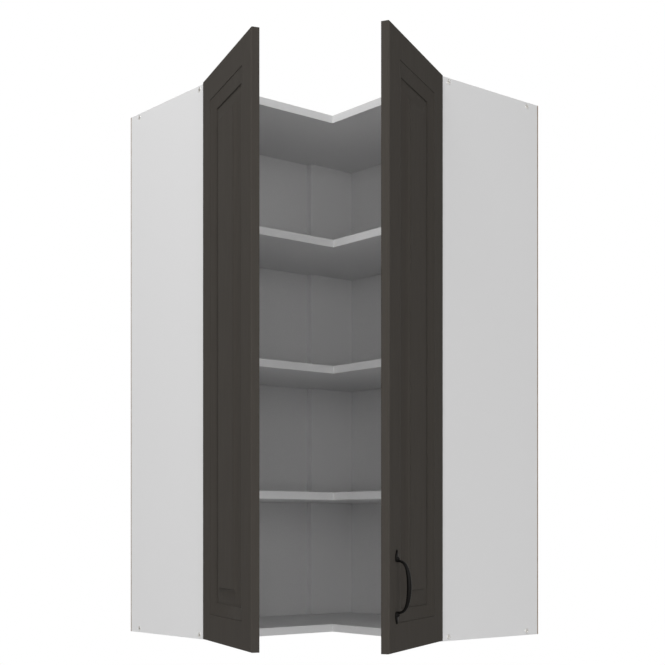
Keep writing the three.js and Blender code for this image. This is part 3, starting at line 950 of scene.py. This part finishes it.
def door_drawing(side):
    """Nested rectangles with mitred corners, less the bores."""
    rings = [(BACK_CHAMFER, DOOR_BACK), (0, DOOR_BACK + BACK_CHAMFER)]
    rings += [(inset, DOOR_FACE - drop) for inset, drop in door_section()]
    drawing = bmesh.new()
    points = []
    for inset, level in rings:
        free = HINGE_EDGE - DOOR_WIDTH[side] + inset
        hinge = HINGE_EDGE - inset
        top = DOOR_HALF_HEIGHT - inset
        corners = ((free, -top), (hinge, -top), (hinge, top), (free, top))
        points.append([drawing.verts.new((level, y, z)) for y, z in corners])
    span(drawing, points)
    drawing.faces.new(points[0])
    drawing.faces.new(points[-1])
    return shaped(outward(drawing), door_bores(side), "DIFFERENCE")


def make_door(side):
    """Foil on the front and edges, a white back, and bare board in the bores, which are in the frame."""
    drawing = door_drawing(side)
    edge_zone = BACK_CHAMFER + 0.1
    bore_zone = DOOR_BACK + CUP_BORE_END + 0.5
    for face in drawing.faces:
        middle = face.calc_center_median()
        from_hinge_edge = HINGE_EDGE - middle.y
        inset = min(from_hinge_edge, DOOR_WIDTH[side] - from_hinge_edge)
        in_frame = edge_zone < inset < FRAME and abs(middle.z) < DOOR_HALF_HEIGHT - edge_zone
        if face.normal.x < -0.9 and middle.x < DOOR_BACK + 0.01:
            face.material_index = 1
        elif in_frame and middle.x < bore_zone and face.normal.x < 0.5:
            face.material_index = 2
    place = door_place(side, OPEN_ANGLE[side])
    node = f"{side}_door"
    piece(f"{node}_look", moved(drawing, place), [FOIL, MELAMINE, FIBREBOARD], node, "door", node)


# Handle

def handle_bar(low, high):
    """The bow, thin at the feet and thick in the middle."""
    start = HANDLE_FACE + BAR_START
    top = HANDLE_FACE + BAR_RISE
    middle = (low + high) / 2
    half = (high - low) / 2 - BAR_INSET
    sideways = Vector(TO_PANEL)

    def bow(share):
        out = start + (top - start) * math.sin(math.pi * share) ** BAR_FULLNESS
        return Vector((out, HANDLE_ACROSS, middle - half * math.cos(math.pi * share)))

    drawing = bmesh.new()
    rings = [[drawing.verts.new(bow(0))]]
    for step in range(BAR_STEPS + 1):
        share = step / BAR_STEPS
        tangent = (bow(min(1, share + 0.01)) - bow(max(0, share - 0.01))).normalized()
        across = tangent.cross(sideways).normalized()
        radius = BAR_THIN + BAR_SWELL * math.sin(math.pi * share) ** 2
        ring = []
        for facet in range(BAR_FACETS):
            angle = 2 * math.pi * facet / BAR_FACETS
            offset = across * math.cos(angle) + sideways * math.sin(angle)
            ring.append(drawing.verts.new(bow(share) + offset * radius))
        rings.append(ring)
    rings.append([drawing.verts.new(bow(1))])
    span(drawing, rings)
    return outward(drawing)


def foot_outline():
    """A leaf, round behind and pointed in front."""
    near = []
    for step in range(FOOT_STEPS + 1):
        share = step / FOOT_STEPS
        bulge = 1 + FOOT_BULGE * math.sin(math.pi * share)
        near.append((FOOT_HALF_WIDTH * bulge * (1 - share ** FOOT_TAPER), FOOT_TIP * share))
    far = [(-width, along) for width, along in near[-2:0:-1]]
    return near + far + arc((0, 0), FOOT_HALF_WIDTH, 180, 360, FOOT_ROUND_STEPS)[:-1]


def handle_foot(height, end):
    """A crowned leaf, round towards the bar and pointed away from it."""
    drawing = bmesh.new()
    rings = []
    for share, rise in FOOT_CROWN:
        points = []
        for across, along in foot_outline():
            spine = min(max(along, 0), FOOT_SPINE)
            level = height + end * (spine + (along - spine) * share)
            points.append(drawing.verts.new((HANDLE_FACE + rise, HANDLE_ACROSS + across * share, level)))
        rings.append(points)
    span(drawing, rings)
    drawing.faces.new(rings[0])
    drawing.faces.new(rings[-1])
    return outward(drawing)


def handle_screw():
    """A screw that is put in from the door's back, along Z."""
    tip = 0.4
    head = cross_head(radius=4, rise=2.2, depth=1.8)
    shank = turned((
        (0, 0),
        (HANDLE_SCREW_RADIUS, 0),
        (HANDLE_SCREW_RADIUS, HANDLE_SCREW_LENGTH - tip),
        (HANDLE_SCREW_RADIUS - tip, HANDLE_SCREW_LENGTH),
        (0, HANDLE_SCREW_LENGTH),
    ))
    return gathered([head, shank])


def make_handle():
    low, high = (door_level("right", height) for height in HANDLE_SCREWS)
    parts = [handle_foot(low, -1), handle_foot(high, 1)]
    for height in (low, high):
        parts.append(moved(turned(DOME), facing((HANDLE_FACE, HANDLE_ACROSS, height), OUT)))
    drawing = shaped(handle_bar(low, high), parts, "UNION")
    place = door_place("right", OPEN_ANGLE["right"])
    piece("handle_look", moved(drawing, place), [CAST_BLACK], "right_door", "handle", "handle")
    for index, height in enumerate((low, high), 1):
        node = f"handle_screw_{index}"
        screw = moved(handle_screw(), facing((DOOR_BACK - FITTING_GAP, HANDLE_ACROSS, height), OUT))
        piece(f"{node}_look", moved(screw, place), [NICKEL], "right_door", "steel", node)


# Hinges

def mirrored(layer):
    return -layer[1], -layer[0]


def wing_outline(middle, half):
    """A plate with round corners, from its middle and half its width and height."""
    half_width, half_height = half
    low = (middle - half_width, -half_height)
    return rounded_rectangle(low, (middle + half_width, half_height), WING_CORNER)


def link_plate(start, end, end_eye, layer, eyes):
    """A plate between two eyes."""
    heading = math.degrees(math.atan2(end[1] - start[1], end[0] - start[0]))
    outline = arc(start, EYE, heading + 90, heading + 270, EYE_STEPS)
    outline += arc(end, end_eye, heading - 90, heading + 90, EYE_STEPS)
    holes = [circle(eye, LINK_PIN + PIN_PLAY) for eye in eyes]
    return eased(prism(outline, *layer, holes), HINGE_ROUNDING, shortest=0.1)


def pin(point, layer):
    low, high = layer
    profile = (
        (0, low), (LINK_PIN - CHAMFER, low), (LINK_PIN, low + CHAMFER),
        (LINK_PIN, high - CHAMFER), (LINK_PIN - CHAMFER, high), (0, high),
    )
    return moved(turned(profile), Matrix.Translation((*point, 0)))


def cup_bowl():
    """A thin bowl with a flange round its mouth."""
    bowl = turned(
        (
            (0, CUP_FLOOR), (CUP_INSIDE - 2, CUP_FLOOR), (CUP_INSIDE - 0.6, CUP_FLOOR - 0.6),
            (CUP_INSIDE, CUP_FLOOR - 2), (CUP_INSIDE, 0.4), (CUP_INSIDE + 0.4, 0),
            (CUP_FLANGE_RADIUS - CHAMFER, 0), (CUP_FLANGE_RADIUS, CHAMFER),
            (CUP_FLANGE_RADIUS, CUP_FLANGE), (CUP_RADIUS, CUP_FLANGE),
            (CUP_RADIUS, CUP_DEPTH - 1), (CUP_RADIUS - 1, CUP_DEPTH), (0, CUP_DEPTH),
        ),
        FINE_FACETS,
    )
    return moved(bowl, facing((CUP_LIP, CUP_CENTRE, 0), OUT))


def cup_wing():
    """The plate that is screwed to the door's back, open over the mouth of the bowl."""
    skin = 0.05
    outline = wing_outline(WING_MIDDLE, WING_HALF)
    wing = moved(prism(outline, CUP_LIP + skin, CUP_LIP + CUP_FLANGE - skin), IN_YZ)
    mouth = rod(CUP_INSIDE + 0.5, -1, 3, FINE_FACETS)
    return shaped(wing, [moved(mouth, facing((CUP_LIP, CUP_CENTRE, 0), OUT))], "DIFFERENCE")


def cup_lugs():
    """Two lugs that stand on the floor of the bowl and carry the cup pin."""
    floor = CUP_LIP + CUP_FLOOR + 0.5
    outline = arc(CUP_PIN, EYE, 90, 270, EYE_STEPS)
    outline += [(floor, CUP_PIN[1] - EYE), (floor, CUP_PIN[1] + EYE)]
    return [prism(outline, *INNER_LAYER), prism(outline, *mirrored(INNER_LAYER))]


def cup_drawing():
    """The bowl with its wing and screws, and the lugs with their pin."""
    pin_end = INNER_LAYER[1] + CHAMFER
    parts = [cup_wing(), *cup_lugs(), pin(CUP_PIN, (-pin_end, pin_end))]
    whole = shaped(cup_bowl(), parts, "UNION")
    screws = []
    for offset in WING_SCREW_OFFSETS:
        head = cross_head(radius=3.6, rise=0.7, depth=1.2)
        screws.append(moved(head, facing((CUP_LIP, WING_MIDDLE, offset), OUT)))
    return gathered([whole, *screws])


def arm_drawing():
    """Two cheeks and a web, with the stub pins and two adjusting screws."""
    under = PANEL_FACE - 2.8
    outline = [(ARM_REAR, under), (ARM_REAR, ARM_OUTSIDE + ARM_WEB), (ARM_REAR + ARM_WEB, ARM_OUTSIDE)]
    outline += [(ARM_WEB_FRONT, ARM_OUTSIDE)]
    outline += arc(ARM_PIN, EYE, -90, 90, EYE_STEPS)
    outline += [(ARM_WEB_FRONT, under)]
    cheeks = [prism(outline, *CHEEK_LAYER), prism(outline, *mirrored(CHEEK_LAYER))]
    half = CHEEK_LAYER[1] - 0.5
    web = block((ARM_REAR + 1.2, ARM_OUTSIDE, -half), (ARM_WEB_FRONT, ARM_OUTSIDE + ARM_WEB, half))
    stub = (INNER_LAYER[0], CHEEK_LAYER[0] + 0.5)
    pins = [pin(ARM_PIN, stub), pin(ARM_PIN, mirrored(stub))]
    whole = eased(shaped(cheeks[0], [cheeks[1], web, *pins], "UNION"), HINGE_ROUNDING, shortest=0.8)
    screws = []
    for along in ARM_SCREW_PLACES:
        head = cross_head(radius=3.8, rise=0.9)
        screws.append(moved(head, facing((along, ARM_OUTSIDE, 0), TO_PANEL)))
    return gathered([whole, *screws])


def plate_drawing():
    """The mounting block on its wing, with two screws into the side panel."""
    top = ARM_OUTSIDE + ARM_WEB + PIN_PLAY
    half = INNER_LAYER[1]
    body = block((ARM_REAR, top, -half), (PLATE_FRONT, PANEL_FACE, half))
    outline = wing_outline(PLATE_MIDDLE, PLATE_WING_HALF)
    wing = moved(prism(outline, -PANEL_FACE, -PANEL_FACE + PLATE_WING_THICKNESS), IN_XZ)
    wing = eased(wing, PLATE_WING_ROUNDING, shortest=0.5)
    whole = shaped(eased(body, PLATE_ROUNDING, segments=3), [wing], "UNION")
    screws = []
    for offset in PLATE_SCREW_OFFSETS:
        place = facing((PLATE_MIDDLE, PANEL_FACE - PLATE_WING_THICKNESS, offset), TO_PANEL)
        screws.append(moved(cross_head(radius=3.9, rise=1), place))
    return gathered([whole, *screws])


def inner_link_drawing():
    """A fork that turns on the arm pin and carries the knee pin."""
    layers = (INNER_LAYER, mirrored(INNER_LAYER))
    plates = [link_plate((0, 0), CUP_PIN, KNEE_EYE, layer, [(0, 0)]) for layer in layers]
    knee = pin(CUP_PIN, (-INNER_LAYER[1], INNER_LAYER[1]))
    return shaped(plates[0], [plates[1], knee], "UNION")


def outer_link_drawing():
    """A plate from the cup pin to the knee, parallel to the line from the axis to the arm pin."""
    return link_plate((0, 0), ARM_PIN, EYE, OUTER_LAYER, [(0, 0), ARM_PIN])


def make_hinges():
    """The five pieces of each hinge, two hinges to a door.

    The arm and plate stand still, the cup and inner link turn with the door, and the outer link keeps
    its heading.
    """
    drawings = {
        "cup": cup_drawing(), "arm": arm_drawing(), "plate": plate_drawing(),
        "inner_link": inner_link_drawing(), "outer_link": outer_link_drawing(),
    }
    for side in SIDES:
        turn = Matrix.Rotation(math.radians(OPEN_ANGLE[side]), 4, "Z")
        arm_pin = Matrix.Translation((*ARM_PIN, 0))
        cup_pin = Matrix.Translation(turn @ Vector((*CUP_PIN, 0)))
        closed = door_place(side)
        bodies = {
            "cup": f"{side}_door", "arm": BODY, "plate": BODY,
            "inner_link": f"{side}_inner_links", "outer_link": f"{side}_outer_links",
        }
        for end, height in HINGE_HEIGHTS.items():
            level = Matrix.Translation((0, 0, door_level(side, height)))
            places = {
                "cup": closed @ turn @ level,
                "arm": closed @ level,
                "plate": closed @ level,
                "inner_link": closed @ level @ arm_pin @ turn,
                "outer_link": closed @ level @ cup_pin,
            }
            for part, place in places.items():
                node = f"{side}_{end}_hinge_{part}"
                look = moved(drawings[part].copy(), place)
                piece(f"{node}_look", look, [NICKEL], bodies[part], "steel", node)
    for drawing in drawings.values():
        drawing.free()


# Floor, light and camera, in metres

CAMERA_PLACE = (2.37033, -2.02234, 0.21275)
CAMERA_HEADING = 50.2
SENSOR_WIDTH = 36
FOCAL_LENGTH = 70.276
SHIFT_UP = 0.29704

FLOOR_PLACE = (0.3, -0.3, -0.9)
FLOOR_RADIUS = 5
FLOOR_FACETS = 96
FLOOR_TONE = (0.86, 0.86, 0.86, 1)
FADE_START = 1.2
FADE_END = 4.5

WHITE = (1, 1, 1, 1)
AMBIENT = 0.25
SKY = 0.21
SKY_POWER = 1.5

LAMPS = {
    "left lamp": {"place": (0.6, -3.6, 1.2), "target": (0.2, -0.6, 0.5), "size": 2.2, "power": 18},
    "right lamp": {"place": (3.6, -0.6, 1.2), "target": (0.6, -0.2, 0.5), "size": 2.2, "power": 31},
    "high left lamp": {"place": (0.6, -2.4, 3.4), "target": (0.3, -0.6, 0.6), "size": 1.8, "power": 57},
    "front lamp": {"place": (2.8, -2.4, 0.6), "target": (0.3, -0.3, 0.5), "size": 1.6, "power": 30.5},
}


def seen_or_mirrored(tree):
    """One for the camera, reflections and glass, and nought for the light that falls on the cabinet."""
    path = put(tree, "ShaderNodeLightPath").outputs
    seen = path["Is Camera Ray"]
    for ray in ("Is Glossy Ray", "Is Transmission Ray"):
        seen = maths(tree, "MAXIMUM", seen, path[ray])
    return seen


def pale_floor():
    """A pale surface that fades into the white background away from its middle."""
    material = bpy.data.materials.new("pale floor")
    material.use_nodes = True
    tree = material.node_tree
    shader = tree.nodes["Principled BSDF"]
    shader.inputs["Base Color"].default_value = FLOOR_TONE
    shader.inputs["Roughness"].default_value = 0.8
    place = put(tree, "ShaderNodeTexCoord").outputs["Object"]
    reach = put(tree, "ShaderNodeVectorMath", ((0, place),), operation="LENGTH").outputs["Value"]
    fade = put(
        tree,
        "ShaderNodeMapRange",
        (("Value", reach), ("From Min", FADE_START), ("From Max", FADE_END)),
        interpolation_type="SMOOTHSTEP",
    ).outputs[0]
    white = put(tree, "ShaderNodeEmission", (("Color", WHITE), ("Strength", seen_or_mirrored(tree))))
    both = put(tree, "ShaderNodeMixShader", ((0, fade), (1, shader.outputs[0]), (2, white.outputs[0])))
    tree.links.new(both.outputs[0], tree.nodes["Material Output"].inputs["Surface"])
    return material


def make_floor():
    drawing = bmesh.new()
    bmesh.ops.create_circle(drawing, cap_ends=True, segments=FLOOR_FACETS, radius=FLOOR_RADIUS)
    mesh = bpy.data.meshes.new("floor")
    drawing.to_mesh(mesh)
    drawing.free()
    mesh.materials.append(pale_floor())
    floor = bpy.data.objects.new("floor", mesh)
    floor.location = FLOOR_PLACE
    bpy.context.scene.collection.objects.link(floor)


def make_world():
    """A soft light, stronger overhead, seen as white by the camera and in reflections."""
    world = bpy.data.worlds.new("studio")
    bpy.context.scene.world = world
    world.use_nodes = True
    tree = world.node_tree
    tree.nodes.clear()
    direction = put(tree, "ShaderNodeTexCoord").outputs["Generated"]
    height = put(tree, "ShaderNodeSeparateXYZ", ((0, direction),)).outputs["Z"]
    above = maths(tree, "MAXIMUM", height, 0)
    curve = maths(tree, "POWER", above, SKY_POWER)
    soft = maths(tree, "MULTIPLY_ADD", curve, SKY, AMBIENT)
    strength = put(
        tree, "ShaderNodeMapRange", (("Value", seen_or_mirrored(tree)), ("To Min", soft), ("To Max", 1))
    ).outputs[0]
    light = put(tree, "ShaderNodeBackground", (("Color", WHITE), ("Strength", strength)))
    put(tree, "ShaderNodeOutputWorld", (("Surface", light.outputs[0]),))


def make_lamp(name, place, target, size, power):
    lamp = bpy.data.lights.new(name, "AREA")
    lamp.shape = "SQUARE"
    lamp.size = size
    lamp.energy = power
    made = bpy.data.objects.new(name, lamp)
    made.location = place
    heading = Vector(target) - Vector(place)
    made.rotation_euler = heading.to_track_quat("-Z", "Y").to_euler()
    bpy.context.scene.collection.objects.link(made)


def make_camera():
    """A level camera, with its lens shifted up as the photograph's framing needs."""
    lens = bpy.data.cameras.new("camera")
    lens.sensor_width = SENSOR_WIDTH
    lens.lens = FOCAL_LENGTH
    lens.shift_y = SHIFT_UP
    camera = bpy.data.objects.new("camera", lens)
    camera.location = CAMERA_PLACE
    camera.rotation_euler = (math.radians(90), 0, math.radians(CAMERA_HEADING))
    bpy.context.scene.collection.objects.link(camera)
    bpy.context.scene.camera = camera


make_boards()
make_backs()
make_hangers()
make_carcass_screws()
make_shelf_pins()
for door_side in SIDES:
    make_door(door_side)
make_handle()
make_hinges()
make_floor()
make_world()
for lamp_name, lamp_settings in LAMPS.items():
    make_lamp(lamp_name, **lamp_settings)
make_camera()
bpy.context.scene.view_settings.view_transform = "Standard"
